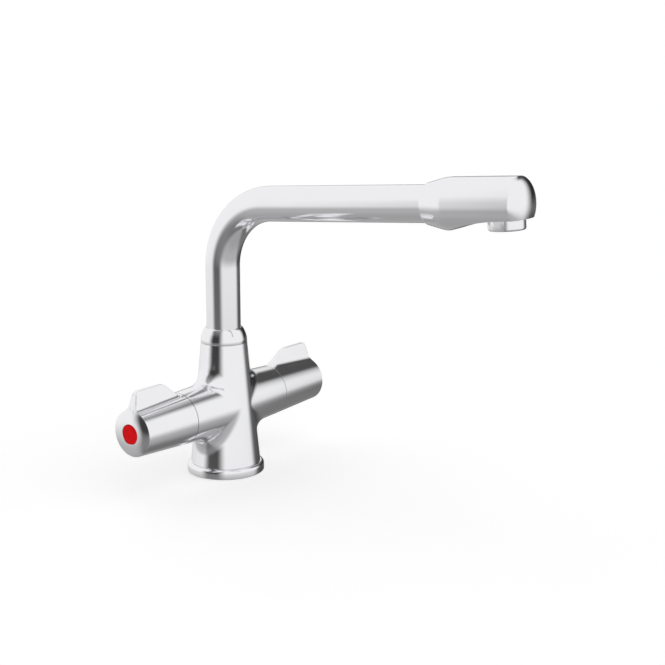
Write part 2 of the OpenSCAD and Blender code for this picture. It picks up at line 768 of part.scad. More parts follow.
// Coloured disc pressed into the end of a handle.
module index(side) {
    r = index_d / 2;
    edge = 0.4;
    at_arm(side) rotate_extrude()
        polygon([[0, index_at], [r, index_at], [r, index_at + index_t - edge],
                 [r - edge, index_at + index_t], [0, index_at + index_t]]);
}

body();
base_ring();
base_seal();
spout_collar();
spout_bearing_ring();
spout_thrust_washer();
spout_tube();
spout_spigot();
spout_orings();
spout_nose();
nose_oring();
aerator_housing();
aerator_washer();
aerator_mesh();
aerator_insert();
valve_gasket(HOT);  // hot_valve_gasket
valve_housing(HOT);  // hot_valve_housing
seat_seal(HOT);  // hot_seat_seal
fixed_disc(HOT);  // hot_fixed_disc
moving_disc(HOT);  // hot_moving_disc
spindle(HOT);  // hot_spindle
spindle_oring(HOT);  // hot_spindle_oring
spindle_clip(HOT);  // hot_spindle_clip
handle(HOT);  // hot_handle
handle_screw(HOT);  // hot_handle_screw
color("red") index(HOT);  // hot_index
valve_gasket(COLD);  // cold_valve_gasket
valve_housing(COLD);  // cold_valve_housing
seat_seal(COLD);  // cold_seat_seal
fixed_disc(COLD);  // cold_fixed_disc
moving_disc(COLD);  // cold_moving_disc
spindle(COLD);  // cold_spindle
spindle_oring(COLD);  // cold_spindle_oring
spindle_clip(COLD);  // cold_spindle_clip
handle(COLD);  // cold_handle
handle_screw(COLD);  // cold_handle_screw
color("blue") index(COLD);  // cold_index
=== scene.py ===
import math

import bmesh
import bpy
import numpy as np
from mathutils import Matrix, Vector


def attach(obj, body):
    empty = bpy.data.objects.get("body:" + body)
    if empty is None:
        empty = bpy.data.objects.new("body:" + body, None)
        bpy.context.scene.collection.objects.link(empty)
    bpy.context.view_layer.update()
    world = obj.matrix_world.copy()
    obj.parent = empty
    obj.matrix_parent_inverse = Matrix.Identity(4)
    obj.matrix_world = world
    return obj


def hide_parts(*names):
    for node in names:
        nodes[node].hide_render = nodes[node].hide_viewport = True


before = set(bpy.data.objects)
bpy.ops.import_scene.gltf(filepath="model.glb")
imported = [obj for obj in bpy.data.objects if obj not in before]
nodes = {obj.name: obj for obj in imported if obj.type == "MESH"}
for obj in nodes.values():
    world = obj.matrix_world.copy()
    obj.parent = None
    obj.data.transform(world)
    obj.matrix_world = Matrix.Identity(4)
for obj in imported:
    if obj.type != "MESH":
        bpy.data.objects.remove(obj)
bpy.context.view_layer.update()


# Camera
# Stands to the left of the user's side, a little above the spout's middle, as the photograph does,
# and takes in the photograph's square frame.
photo_width = 665
focal_pixels = 1500
film_width = 36.0
camera_far = 0.9121
aim = Vector((0.0, -0.08793, 0.10379))
back = Vector((-0.7768, -0.5893, 0.2223)).normalized()
lens = bpy.data.cameras.new("camera")
lens.sensor_width = film_width
lens.lens = film_width * focal_pixels / photo_width
lens.clip_end = 500
camera = bpy.data.objects.new("camera", lens)
camera.location = aim + back * camera_far
camera.rotation_euler = back.to_track_quat("Z", "Y").to_euler()
bpy.context.scene.collection.objects.link(camera)
bpy.context.scene.camera = camera


# Studio
# A white studio that wraps round the tap. A tall black card stands to the camera's left, a dark
# room lies behind the tap to the right, and the table is a mid grey as the chrome sees it.
bpy.context.scene.view_settings.view_transform = "Standard"
world = bpy.data.worlds.new("studio")
world.use_nodes = True
bpy.context.scene.world = world
sky = world.node_tree


def math_node(tree, operation, a, b=None):
    node = tree.nodes.new("ShaderNodeMath")
    node.operation = operation
    for socket, value in zip(node.inputs, (a, b)):
        if value is None:
            continue
        if isinstance(value, (int, float)):
            socket.default_value = value
        else:
            tree.links.new(value, socket)
    return node.outputs[0]


def soft_step(tree, value, start, end, low=0.0, high=1.0, shape="SMOOTHSTEP"):
    node = tree.nodes.new("ShaderNodeMapRange")
    node.interpolation_type = shape
    tree.links.new(value, node.inputs["Value"])
    for name, number in (("From Min", start), ("From Max", end), ("To Min", low), ("To Max", high)):
        node.inputs[name].default_value = number
    return node.outputs[0]


facing = sky.nodes.new("ShaderNodeTexCoord").outputs["Generated"]
split = sky.nodes.new("ShaderNodeSeparateXYZ")
sky.links.new(facing, split.inputs[0])
# Bearing from the camera's own bearing, in degrees: 0 at the camera, positive to its right.
to_degrees = 57.2958
turn = math.atan2(back.y, back.x)
along = math_node(sky, "ADD", math_node(sky, "MULTIPLY", split.outputs["X"], math.cos(turn)),
                  math_node(sky, "MULTIPLY", split.outputs["Y"], math.sin(turn)))
aside = math_node(sky, "SUBTRACT", math_node(sky, "MULTIPLY", split.outputs["Y"], math.cos(turn)),
                  math_node(sky, "MULTIPLY", split.outputs["X"], math.sin(turn)))
bearing = math_node(sky, "MULTIPLY", math_node(sky, "ARCTAN2", aside, along), to_degrees)
# The same, counted from 0 to 360, for what stands behind the tap.
behind = math_node(sky, "FLOORED_MODULO", bearing, 360.0)
# Height over the horizon, in degrees.
rise = math_node(sky, "MULTIPLY", math_node(sky, "ARCSINE", split.outputs["Z"]), to_degrees)


def times(*factors):
    product = factors[0]
    for factor in factors[1:]:
        product = math_node(sky, "MULTIPLY", product, factor)
    return product


def plus(*terms):
    total = terms[0]
    for term in terms[1:]:
        total = math_node(sky, "ADD", total, term)
    return total


def ramp(value, start, end, low=0.0, high=1.0):
    return soft_step(sky, value, start, end, low, high, shape="LINEAR")


def shade(light, *masks):
    return times(light, math_node(sky, "SUBTRACT", 1.0, times(*masks)))


# The table, which is darker the more steeply the chrome looks down at it.
table_grey = soft_step(sky, rise, -29, -5, 0.45, 0.91)
table_foot = soft_step(sky, rise, -60, -30, 0.8, 1.0)
light = times(table_grey, table_foot)

# The black card to the left, whose left edge leans away and which fades overhead.
leaning = plus(bearing, ramp(rise, 30, 90, 0, 48))
card_left = soft_step(sky, leaning, -80, -50)
card_right = soft_step(sky, bearing, -26, 6, 1.0, 0.0)
card_foot = soft_step(sky, rise, -32, -2, 0.5, 0.95)
card_top = ramp(rise, 22, 90, 1.0, 0.48)
light = shade(light, card_left, card_right, card_foot, card_top)

# The dark room behind to the right, with its soft top.
near_edge = plus(behind, ramp(rise, 30, 60, 0, 20), ramp(rise, -14, 16, 9, 0))
far_edge = plus(behind, ramp(rise, -2, 26, -26, 0), ramp(rise, 26, 38, 0, -14), ramp(rise, 38, 48, 0, 18))
room_near = soft_step(sky, near_edge, 106, 134)
room_far = soft_step(sky, far_edge, 150, 178, 1.0, 0.0)
room_foot = soft_step(sky, rise, -40, -14)
room_depth = soft_step(sky, rise, -10, 1, 0.8, 0.97)
room_haze = ramp(rise, 14, 24, 1.0, 0.945)
room_top = soft_step(sky, rise, 43, 55, 1.0, 0.0)
light = shade(light, room_near, room_far, room_foot, room_depth, room_haze, room_top)

# The paler wall above the room.
wall_near = soft_step(sky, behind, 105, 150)
wall_far = soft_step(sky, behind, 186, 206, 1.0, 0.0)
wall_foot = soft_step(sky, rise, 47, 55, 0.0, 0.42)
light = shade(light, wall_near, wall_far, wall_foot)

# The table in that room's shade.
shade_near = soft_step(sky, behind, 90, 130)
shade_far = soft_step(sky, behind, 152, 188, 1.0, 0.0)
shade_depth = soft_step(sky, rise, -18, -2, 0.56, 0.0)
light = shade(light, shade_near, shade_far, shade_depth)
sky.links.new(light, sky.nodes["Background"].inputs["Color"])

# The table as the camera sees it. The chrome sees the studio's own table instead.
floor_reach = 60
floor_bm = bmesh.new()
bmesh.ops.create_grid(floor_bm, x_segments=1, y_segments=1, size=floor_reach)
floor_mesh = bpy.data.meshes.new("floor")
floor_bm.to_mesh(floor_mesh)
floor = bpy.data.objects.new("floor", floor_mesh)
bpy.context.scene.collection.objects.link(floor)
floor.visible_glossy = False
paper = bpy.data.materials.new("white_paper")
paper.use_nodes = True
paper_shader = paper.node_tree.nodes["Principled BSDF"]
paper_shader.inputs["Base Color"].default_value = (0.9, 0.9, 0.9, 1)
paper_shader.inputs["Roughness"].default_value = 1
paper_shader.inputs["Specular IOR Level"].default_value = 0
paper_shader.inputs["Emission Color"].default_value = (1, 1, 1, 1)
paper_shader.inputs["Emission Strength"].default_value = 0.4
floor_mesh.materials.append(paper)


# Base ring
# A turned brass ring with a rounded upper edge, chromed, that spreads the body's weight on the
# sink. A groove in its underside holds the rubber seal. Every piece is drawn in millimetres.
MM = 0.001


def satin_chrome(name, grain=0.012, rough=0.1):
    material = bpy.data.materials.new(name)
    material.use_nodes = True
    tree = material.node_tree
    shader = tree.nodes["Principled BSDF"]
    shader.inputs["Metallic"].default_value = 1.0
    shader.inputs["Base Color"].default_value = (0.93, 0.93, 0.95, 1)
    place = tree.nodes.new("ShaderNodeTexCoord").outputs["Object"]
    cloud = tree.nodes.new("ShaderNodeTexNoise")
    cloud.inputs["Scale"].default_value = 60
    cloud.inputs["Detail"].default_value = 3
    tree.links.new(place, cloud.inputs["Vector"])
    tree.links.new(soft_step(tree, cloud.outputs["Fac"], 0.3, 0.7, rough - 0.02, rough + 0.03),
                   shader.inputs["Roughness"])
    speck = tree.nodes.new("ShaderNodeTexNoise")
    speck.inputs["Scale"].default_value = 1800
    speck.inputs["Detail"].default_value = 2
    tree.links.new(place, speck.inputs["Vector"])
    bump = tree.nodes.new("ShaderNodeBump")
    bump.inputs["Strength"].default_value = grain
    bump.inputs["Distance"].default_value = 0.0004
    tree.links.new(speck.outputs["Fac"], bump.inputs["Height"])
    tree.links.new(bump.outputs["Normal"], shader.inputs["Normal"])
    return material


chrome = satin_chrome("satin_chrome")
# Where the polish and the plating stop, inside the seams and bores, the casting is dull. Its dark colour is
# painted shade, for the shade that falls in the seams, the bores and under the body.
# Painted shade: a dark dull casting colour for the seams, the bores and the underside.
dull_casting_painted_shade = satin_chrome("dull_casting_painted_shade", grain=0.3, rough=0.6)
dull_casting_painted_shade.node_tree.nodes["Principled BSDF"].inputs["Base Color"].default_value = (0.16, 0.14, 0.12, 1)


def arc(centre, radius, start, end, steps):
    return [(centre[0] + radius * math.cos(math.radians(start + (end - start) * i / steps)),
             centre[1] + radius * math.sin(math.radians(start + (end - start) * i / steps)))
            for i in range(steps + 1)]


def turned(profile, steps=128, closed=True):
    """Spins a profile of (radius, height) points round Z, in millimetres."""
    bm = bmesh.new()
    verts = [bm.verts.new((r, 0, z)) for r, z in profile]
    pairs = list(zip(verts, verts[1:]))
    if closed:
        pairs.append((verts[-1], verts[0]))
    edges = [bm.edges.new(pair) for pair in pairs]
    bmesh.ops.spin(bm, geom=verts + edges, cent=(0, 0, 0), axis=(0, 0, 1), angle=2 * math.pi,
                   steps=steps, use_merge=True)
    bmesh.ops.remove_doubles(bm, verts=bm.verts, dist=1e-4)
    bmesh.ops.recalc_face_normals(bm, faces=bm.faces)
    return bm


def added(name, mesh, body, stands_for):
    """Puts a finished mesh into the scene as a piece of the tap."""
    obj = bpy.data.objects.new(name, mesh)
    bpy.context.scene.collection.objects.link(obj)
    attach(obj, body)
    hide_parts(*stands_for)
    return obj


def piece(bm, name, body, material, stands_for, crease=32, place=None):
    """Finishes a mesh made in millimetres as an object of the tap."""
    if place is not None:
        bmesh.ops.transform(bm, matrix=place, verts=bm.verts)
        if place.determinant() < 0:
            bmesh.ops.reverse_faces(bm, faces=bm.faces)
    bmesh.ops.scale(bm, vec=(MM, MM, MM), verts=bm.verts)
    for face in bm.faces:
        face.smooth = True
    for edge in bm.edges:
        if len(edge.link_faces) == 2 and edge.calc_face_angle(0) > math.radians(crease):
            edge.smooth = False
    mesh = bpy.data.meshes.new(name)
    bm.to_mesh(mesh)
    bm.free()
    mesh.materials.append(material)
    return added(name, mesh, body, stands_for)


base_r = 25.0
base_h = 6.2
base_round = 2.2
toe_round = 0.7
ring_bore = 17.15
bore_chamfer = 0.3
groove_half = 1.75
groove_h = 1.25
seal_mid = (ring_bore + base_r) / 2
ring_profile = ([(ring_bore, 0), (seal_mid - groove_half, 0), (seal_mid - groove_half, groove_h),
                 (seal_mid + groove_half, groove_h), (seal_mid + groove_half, 0), (base_r - toe_round, 0)]
                + arc((base_r - toe_round, toe_round), toe_round, -60, 0, 4)
                + arc((base_r - base_round, base_h - base_round), base_round, 0, 90, 12)
                + [(ring_bore + bore_chamfer, base_h), (ring_bore, base_h - bore_chamfer)])
piece(turned(ring_profile), "plinth_ring", "base", chrome, ["base_ring"])


# Seals
# Moulded rubber: the ring under the plinth, the O-rings of the spout's foot, the outlet head and
# the spindles, the washer over the aerator and the seals under the ceramic discs.
def two_tone(name, tint, worn, scale, rough, grain=0.1, metallic=0.0, stretch=(1, 1, 1)):
    """A finish that wanders between two tones, with a fine grain raised in its surface."""
    material = bpy.data.materials.new(name)
    material.use_nodes = True
    tree = material.node_tree
    shader = tree.nodes["Principled BSDF"]
    shader.inputs["Metallic"].default_value = metallic
    place = tree.nodes.new("ShaderNodeMapping")
    place.inputs["Scale"].default_value = stretch
    tree.links.new(tree.nodes.new("ShaderNodeTexCoord").outputs["Object"], place.inputs["Vector"])
    cloud = tree.nodes.new("ShaderNodeTexNoise")
    cloud.inputs["Scale"].default_value = scale
    cloud.inputs["Detail"].default_value = 4
    tree.links.new(place.outputs["Vector"], cloud.inputs["Vector"])
    blend = tree.nodes.new("ShaderNodeMix")
    blend.data_type = "RGBA"
    blend.inputs["A"].default_value = (*tint, 1)
    blend.inputs["B"].default_value = (*worn, 1)
    tree.links.new(soft_step(tree, cloud.outputs["Fac"], 0.35, 0.65), blend.inputs["Factor"])
    tree.links.new(blend.outputs["Result"], shader.inputs["Base Color"])
    tree.links.new(soft_step(tree, cloud.outputs["Fac"], 0.3, 0.7, rough - 0.05, rough + 0.05),
                   shader.inputs["Roughness"])
    bump = tree.nodes.new("ShaderNodeBump")
    bump.inputs["Strength"].default_value = grain
    bump.inputs["Distance"].default_value = 0.0002
    tree.links.new(cloud.outputs["Fac"], bump.inputs["Height"])
    tree.links.new(bump.outputs["Normal"], shader.inputs["Normal"])
    return material


def finish(material, *names):
    for name in names:
        for slot in nodes[name].material_slots:
            slot.material = material


sides = ("hot", "cold")
rubber = two_tone("black_rubber", (0.018, 0.018, 0.02), (0.035, 0.034, 0.033), 900, 0.7, grain=0.25)
finish(rubber, "base_seal", "spout_orings", "nose_oring", "aerator_washer")
for side in sides:
    finish(rubber, side + "_seat_seal", side + "_spindle_oring")


# Bearings of the spout
# Two rings of low-friction plastic, cut from bar, that the spout's foot turns between.
bearing_plastic = two_tone("bearing_plastic", (0.8, 0.76, 0.66), (0.72, 0.68, 0.58), 350, 0.42)
finish(bearing_plastic, "spout_bearing_ring", "spout_thrust_washer")


# Brass
# Turned from brass bar and left bare: the spout's foot, and the valves with their spindles.
brass = two_tone("machined_brass", (0.76, 0.55, 0.24), (0.66, 0.45, 0.19), 260, 0.3, grain=0.15, metallic=1.0)
finish(brass, "spout_spigot")
for side in sides:
    finish(brass, side + "_valve_housing", side + "_spindle")


# Valve discs and gaskets
# Lapped alumina discs, one fixed and one turned by the spindle, and a pressed fibre gasket that
# seals each valve's flange on the body.
ceramic = two_tone("lapped_ceramic", (0.86, 0.84, 0.78), (0.8, 0.78, 0.72), 1400, 0.16, grain=0.03)
fibre = two_tone("pressed_fibre", (0.4, 0.12, 0.06), (0.28, 0.08, 0.04), 700, 0.88, grain=0.6,
                 stretch=(1, 5, 1))
for side in sides:
    finish(ceramic, side + "_fixed_disc", side + "_moving_disc")
    finish(fibre, side + "_valve_gasket")


# Screws, clips and screen
# Stainless steel: the lever screws, the spring clips of the spindles and the aerator's screen.
steel = two_tone("stainless_steel", (0.6, 0.6, 0.61), (0.5, 0.5, 0.51), 500, 0.32, grain=0.12, metallic=1.0,
                 stretch=(8, 1, 1))
finish(steel, "aerator_mesh")
for side in sides:
    finish(steel, side + "_spindle_clip", side + "_handle_screw")


# Body
# One chromed brass casting: a tapered column with a tapered arm to each side. Where they meet,
# a 12 mm blend as round as a thumb runs round each arm. The ends are faced off square.
foot_r = 22.6
body_h = 86.0
body_top_r = 14.9
body_slope = (foot_r - body_top_r) / (body_h - base_h)
arm_h = 44.0
arm_len = 43.4
arm_r = 16.55
arm_root_r = 18.45
arm_slope = (arm_root_r - arm_r) / arm_len
blend_r = 12.0
beside_middle = 2.5
longest_roll = 6.0
plug_r = 17.1
plug_gap = 0.8
inlet_at = 7.5
inlet_r = 4.5
stud_at = 11
stud_r = 3.4
facets = 96
# How far the rough shapes run past the ends that are faced off, and what their radii change by.
spare = 2.0
column_flare = 0.2
arm_flare = 0.1


def round_union(a, b, r):
    return np.maximum(r, np.minimum(a, b)) - np.hypot(np.maximum(r - a, 0), np.maximum(r - b, 0))


def round_cut(a, b, r):
    return -round_union(-a, -b, r)


def column_and_arm(p):
    """Distances from the column's and the arms' skins, and the two ways straight out of them."""
    x, y, z = p.T
    ways = []
    gaps = []
    for across, up, run, radius, slope in ((x, y, z - base_h, foot_r, body_slope),
                                           (y, z - arm_h, np.abs(x), arm_root_r, arm_slope)):
        far = np.maximum(np.hypot(across, up), 1e-6)
        lean = math.atan(slope)
        gaps.append((far - radius + slope * run) * math.cos(lean))
        ways.append((across / far * math.cos(lean), up / far * math.cos(lean), math.sin(lean)))
    column = np.stack([ways[0][0], ways[0][1], np.full_like(x, ways[0][2])], 1)
    arm = np.stack([np.sign(x) * ways[1][2], ways[1][0], ways[1][1]], 1)
    return gaps[0], gaps[1], column, arm


def casting(p):
    """How far points lie outside the casting's skin, in millimetres. The hollow between column and
    arm is the track of a ball that touches both."""
    a, b, column, arm = column_and_arm(p)
    plain = np.minimum(a, b)
    # An arm's way out turns over at x = 0, so points beside that plane keep the plain distance.
    near = (np.abs(a) < blend_r) & (np.abs(b) < blend_r) & (np.abs(p[:, 0]) > beside_middle)
    q = p[near].copy()
    for _ in range(8):
        qa, qb, n1, n2 = column_and_arm(q)
        c = (n1 * n2).sum(1)
        s = np.maximum(1 - c * c, 1e-4)
        ea, eb = blend_r - qa, blend_r - qb
        along = np.cross(n1, n2)
        along /= np.maximum(np.linalg.norm(along, axis=1, keepdims=True), 1e-6)
        move = ((ea - c * eb) / s)[:, None] * n1 + ((eb - c * ea) / s)[:, None] * n2
        move += along * ((p[near] - q) * along).sum(1, keepdims=True)
        far = np.linalg.norm(move, axis=1, keepdims=True)
        q += move * np.minimum(1, longest_roll / np.maximum(far, 1e-9))
    qa, qb, n1, n2 = column_and_arm(q)
    c = (n1 * n2).sum(1)
    s = np.maximum(1 - c * c, 1e-4)
    to_p = q - p[near]
    d1, d2 = (to_p * n1).sum(1), (to_p * n2).sum(1)
    held = ((d1 - c * d2) / s > 0) & ((d2 - c * d1) / s > 0)
    ball = blend_r - np.linalg.norm(to_p, axis=1)
    plain[near] = np.where(held, ball, plain[near])
    return plain


def uphill(skin, p, step=0.01):
    """Slope of a skin function at points."""
    slopes = [(skin(p + shift) - skin(p - shift)) / (2 * step) for shift in np.eye(3) * step]
    return np.stack(slopes, 1)


def settle(bm, skin, passes, longest=1.5):
    """Moves every vertex onto the skin, by no more than longest in a pass."""
    bm.verts.ensure_lookup_table()
    p = np.array([v.co for v in bm.verts])
    for _ in range(passes):
        g = uphill(skin, p)
        move = g * (skin(p) / np.maximum((g * g).sum(1), 0.05))[:, None]
        far = np.linalg.norm(move, axis=1, keepdims=True)
        p -= move * np.minimum(1, longest / np.maximum(far, 1e-9))
    for v, co in zip(bm.verts, p):
        v.co = co


def fused(bm, skin, voxel):
    """Joins overlapping rough shapes into one fine mesh and settles it on the skin."""
    rough = bpy.data.meshes.new("rough")
    bm.to_mesh(rough)
    bm.free()
    lump = bpy.data.objects.new("lump", rough)
    bpy.context.scene.collection.objects.link(lump)
    remesh = lump.modifiers.new("join", "REMESH")
    remesh.mode = "VOXEL"
    remesh.voxel_size = voxel
    made = lump.evaluated_get(bpy.context.evaluated_depsgraph_get()).to_mesh()
    fine = bmesh.new()
    fine.from_mesh(made)
    bpy.data.objects.remove(lump)
    bpy.data.meshes.remove(rough)
    settle(fine, skin, 8)
    for _ in range(3):
        bmesh.ops.smooth_vert(fine, verts=fine.verts, factor=0.5, use_axis_x=True, use_axis_y=True,
                              use_axis_z=True)
        settle(fine, skin, 3)
    return fine


def everything(bm):
    return bm.verts[:] + bm.edges[:] + bm.faces[:]


def of_kind(geom, kind):
    """The vertices, edges or faces in what an operator gives back."""
    return [g for g in geom if isinstance(g, kind)]


def faced(bm, at, normal, edge):
    """Cuts the mesh square at a plane and gives the cut a small rounded edge and an end face."""
    normal = Vector(normal)
    at = Vector(at)
    bmesh.ops.bisect_plane(bm, geom=everything(bm), dist=1e-5, plane_co=at - normal * edge,
                           plane_no=normal, clear_outer=True)
    rim = [e for e in bm.edges if e.is_boundary and abs((e.verts[0].co - at).dot(normal) + edge) < 1e-3]
    middle = sum((e.verts[0].co for e in rim), Vector()) / len(rim)
    done = 0.0
    for step in (1, 2, 3):
        rim = of_kind(bmesh.ops.extrude_edge_only(bm, edges=rim)["geom"], bmesh.types.BMEdge)
        angle = math.radians(30 * step)
        pull = edge * (1 - math.cos(angle)) - done
        rise_by = edge * (math.sin(angle) - math.sin(angle - math.radians(30)))
        done += pull
        for v in {v for e in rim for v in e.verts}:
            out = v.co - middle
            out -= normal * out.dot(normal)
            v.co += normal * rise_by - out.normalized() * pull
        for f in {f for e in rim for f in e.link_faces}:
            f.smooth = False
    rim = [e for e in rim if e.is_boundary]
    for f in bmesh.ops.contextual_create(bm, geom=rim)["faces"]:
        f.smooth = False
        # The end face takes the dull casting painted dark, as painted shade in the seam or under the body.
        f.material_index = 1


def skinned(bm, skin, name, body, material, stands_for):
    """Finishes a settled mesh, shaded with the skin's own normals. Its end faces are painted dark as shade,
    in the dull casting.
    """
    bmesh.ops.recalc_face_normals(bm, faces=bm.faces)
    normals = uphill(skin, np.array([v.co for v in bm.verts]))
    normals /= np.linalg.norm(normals, axis=1, keepdims=True)
    mesh = bpy.data.meshes.new(name)
    bmesh.ops.scale(bm, vec=(MM, MM, MM), verts=bm.verts)
    bm.to_mesh(mesh)
    bm.free()
    soft_faces = [False] * len(mesh.polygons)
    mesh.polygons.foreach_get("use_smooth", soft_faces)
    shading = []
    for face, soft in zip(mesh.polygons, soft_faces):
        for i in face.vertices:
            shading.append(Vector(normals[i]) if soft else face.normal.copy())
    for face in mesh.polygons:
        face.use_smooth = True
    mesh.normals_split_custom_set(shading)
    mesh.materials.append(material)
    # The second slot paints shade on the end faces in the seams.
    mesh.materials.append(dull_casting_painted_shade)
    added(name, mesh, body, stands_for)


rough_body = bmesh.new()
bmesh.ops.create_cone(rough_body, cap_ends=True, segments=facets, radius1=foot_r + column_flare,
                      radius2=body_top_r - column_flare, depth=body_h - base_h + 2 * spare,
                      matrix=Matrix.Translation((0, 0, (body_h + base_h) / 2)))
for side in (-1, 1):
    bmesh.ops.create_cone(rough_body, cap_ends=True, segments=facets, radius1=arm_root_r,
                          radius2=arm_r - arm_flare, depth=arm_len + spare,
                          matrix=Matrix.Translation((side * (arm_len + spare) / 2, 0, arm_h))
                          @ Matrix.Rotation(side * math.pi / 2, 4, "Y"))
body_bm = fused(rough_body, casting, voxel=0.9)
for side in (-1, 1):
    faced(body_bm, (side * arm_len, 0, arm_h), (side, 0, 0), edge=0.06)
faced(body_bm, (0, 0, body_h), (0, 0, 1), edge=0.06)
faced(body_bm, (0, 0, base_h), (0, 0, -1), edge=0.4)
skinned(body_bm, casting, "tap_body", "base", chrome, ["body"])


def pulled(bm, faces, way):
    """Draws faces out along a way and gives them back at their new place."""
    grown = bmesh.ops.extrude_face_region(bm, geom=faces)["geom"]
    bmesh.ops.translate(bm, vec=way, verts=of_kind(grown, bmesh.types.BMVert))
    return of_kind(grown, bmesh.types.BMFace)


# The plug that centres the base ring, with the threaded holes of the inlets and the fixing stud.
plug = bmesh.new()
for x, y, radius in ((0, 0, plug_r), (-inlet_at, 0, inlet_r), (inlet_at, 0, inlet_r), (0, stud_at, stud_r)):
    bmesh.ops.create_circle(plug, cap_ends=False, segments=facets, radius=radius,
                            matrix=Matrix.Translation((x, y, plug_gap)))
underside = bmesh.ops.triangle_fill(plug, edges=plug.edges[:], use_beauty=True, use_dissolve=False)["geom"]
pulled(plug, of_kind(underside, bmesh.types.BMFace), (0, 0, base_h - plug_gap))
bmesh.ops.recalc_face_normals(plug, faces=plug.faces)
# The plug under the body is dull casting, its dark colour painted shade.
piece(plug, "body_plug", "base", dull_casting_painted_shade, ["body"])


# Collar
# A domed chrome ring that screws into the top of the body and keeps the spout's foot down.
collar_h = 9.8
collar_bore = 11.08
collar_chamfer = 0.1
collar_foot = 80.6
collar_thread_r = 13.35
collar_gap = 0.05
collar_edge = 0.12
dome_lip_r = 11.43
dome_start_h = 2
dome_h = 7.8
dome_bow = 2 / 1.43
collar_low = body_h + collar_gap
collar_profile = ([(collar_bore, collar_foot), (collar_thread_r, collar_foot), (collar_thread_r, collar_low),
                   (body_top_r - collar_edge, collar_low)]
                  + arc((body_top_r - collar_edge, collar_low + collar_edge), collar_edge, -90, 0, 3)[1:]
                  + [(dome_lip_r + (body_top_r - dome_lip_r) * math.cos(a) ** dome_bow,
                      body_h + dome_start_h + dome_h * math.sin(a) ** dome_bow)
                     for a in np.radians(range(0, 91, 3))]
                  + [(collar_bore + collar_chamfer, body_h + collar_h),
                     (collar_bore, body_h + collar_h - collar_chamfer)])
piece(turned(collar_profile), "spout_collar_ring", "base", chrome, ["spout_collar"])


# Spout tube
# A seamless 22 mm tube with a 1.2 mm wall, bent once on a 44 mm radius and polished. Its foot
# stands in the brass spigot and its other end in the outlet head.
tube_r = 11.0
tube_bore_r = 9.8
tube_foot = 67.3
tube_tip = 175.1
bend_r = 44.0
spout_h = 175.2
spout_rise = math.radians(4.8)
bend_angle = math.pi / 2 - spout_rise
bend_run = bend_r * math.tan(bend_angle / 2)
bend_start = spout_h - bend_run
bend_steps = 56
spout_way = Vector((0, -math.cos(spout_rise), math.sin(spout_rise)))
tube_bm = bmesh.new()
rings = []
for radius in (tube_r, tube_bore_r):
    made = bmesh.ops.create_circle(tube_bm, cap_ends=False, segments=facets, radius=radius,
                                   matrix=Matrix.Translation((0, 0, tube_foot)))["verts"]
    rings += list({e for v in made for e in v.link_edges})
section = bmesh.ops.bridge_loops(tube_bm, edges=rings)["faces"]
section = pulled(tube_bm, section, (0, 0, bend_start - tube_foot))
for _ in range(bend_steps):
    grown = bmesh.ops.extrude_face_region(tube_bm, geom=section)["geom"]
    bmesh.ops.rotate(tube_bm, cent=(0, -bend_r, bend_start),
                     matrix=Matrix.Rotation(bend_angle / bend_steps, 3, "X"),
                     verts=of_kind(grown, bmesh.types.BMVert))
    passed = section
    section = of_kind(grown, bmesh.types.BMFace)
    bmesh.ops.delete(tube_bm, geom=passed, context="FACES_ONLY")
pulled(tube_bm, section, spout_way * (tube_tip - bend_run))
bmesh.ops.delete(tube_bm, geom=section, context="FACES_ONLY")
bmesh.ops.recalc_face_normals(tube_bm, faces=tube_bm.faces)
piece(tube_bm, "bent_tube", "spout", chrome, ["spout_tube"])


# Outlet head
# A chromed casting over the tube's end: a short cone, a round barrel, a flat underside that the
# aerator screws into, and a shallow domed end with a tight rim.
nose_start = 158.1
nose_r = 15.3
nose_small_r = 12.2
nose_cone = 12.9
cone_round = 0.8
ramp_end = 197.0
ramp_round = 4.0
flat_round = 0.7
dome_start = 217.5
nose_dome = 4.8
nose_flat = 8.3
crown_span = 15.7
rim_step = 0.02
crown_rings = 40
# Out along the spout, sideways and down from its axis, as the head is measured.
spout_down = Vector((0, -math.sin(spout_rise), -math.cos(spout_rise)))
to_head = np.array([spout_way, (1, 0, 0), spout_down])
# From a lathe's upright axis to the spout's own line.
lay = (Matrix.Translation((0, 0, spout_h)) @ Matrix.Rotation(-spout_rise, 4, "X")
       @ Matrix.Rotation(math.pi / 2, 4, "X"))
barrel_from = nose_start + nose_cone - 0.5
barrel_to = dome_start + 4.5


def head_skin(p):
    """How far points lie outside the skin of the head's cone and barrel, in millimetres."""
    s, side, down = ((p - np.array([0, 0, spout_h])) @ to_head.T).T
    r = np.hypot(side, down)
    lean = (nose_r - nose_small_r) / nose_cone
    cone = (r - nose_small_r - lean * (s - nose_start)) * math.cos(math.atan(lean))
    outside = round_cut(cone, r - nose_r, cone_round)
    fall = (nose_r - nose_flat) / (ramp_end - nose_start - nose_cone)
    slope_cut = (down - nose_r + fall * (s - nose_start - nose_cone)) * math.cos(math.atan(fall))
    under = round_union(slope_cut, down - nose_flat, ramp_round)
    return round_cut(outside, under, flat_round)


rough_head = bmesh.new()
bmesh.ops.create_cone(rough_head, cap_ends=True, segments=facets, radius1=nose_small_r, radius2=nose_r,
                      depth=nose_cone + spare,
                      matrix=lay @ Matrix.Translation((0, 0, nose_start + nose_cone / 2 - spare / 2)))
bmesh.ops.create_cone(rough_head, cap_ends=True, segments=facets, radius1=nose_r, radius2=nose_r,
                      depth=barrel_to - barrel_from,
                      matrix=lay @ Matrix.Translation((0, 0, (barrel_from + barrel_to) / 2)))
head_bm = fused(rough_head, head_skin, voxel=0.6)
faced(head_bm, Vector((0, 0, spout_h)) + spout_way * nose_start, -spout_way, edge=0.6)
faced(head_bm, Vector((0, 0, spout_h)) + spout_way * dome_start, spout_way, edge=0.01)
skinned(head_bm, head_skin, "outlet_head", "spout", chrome, ["spout_nose"])


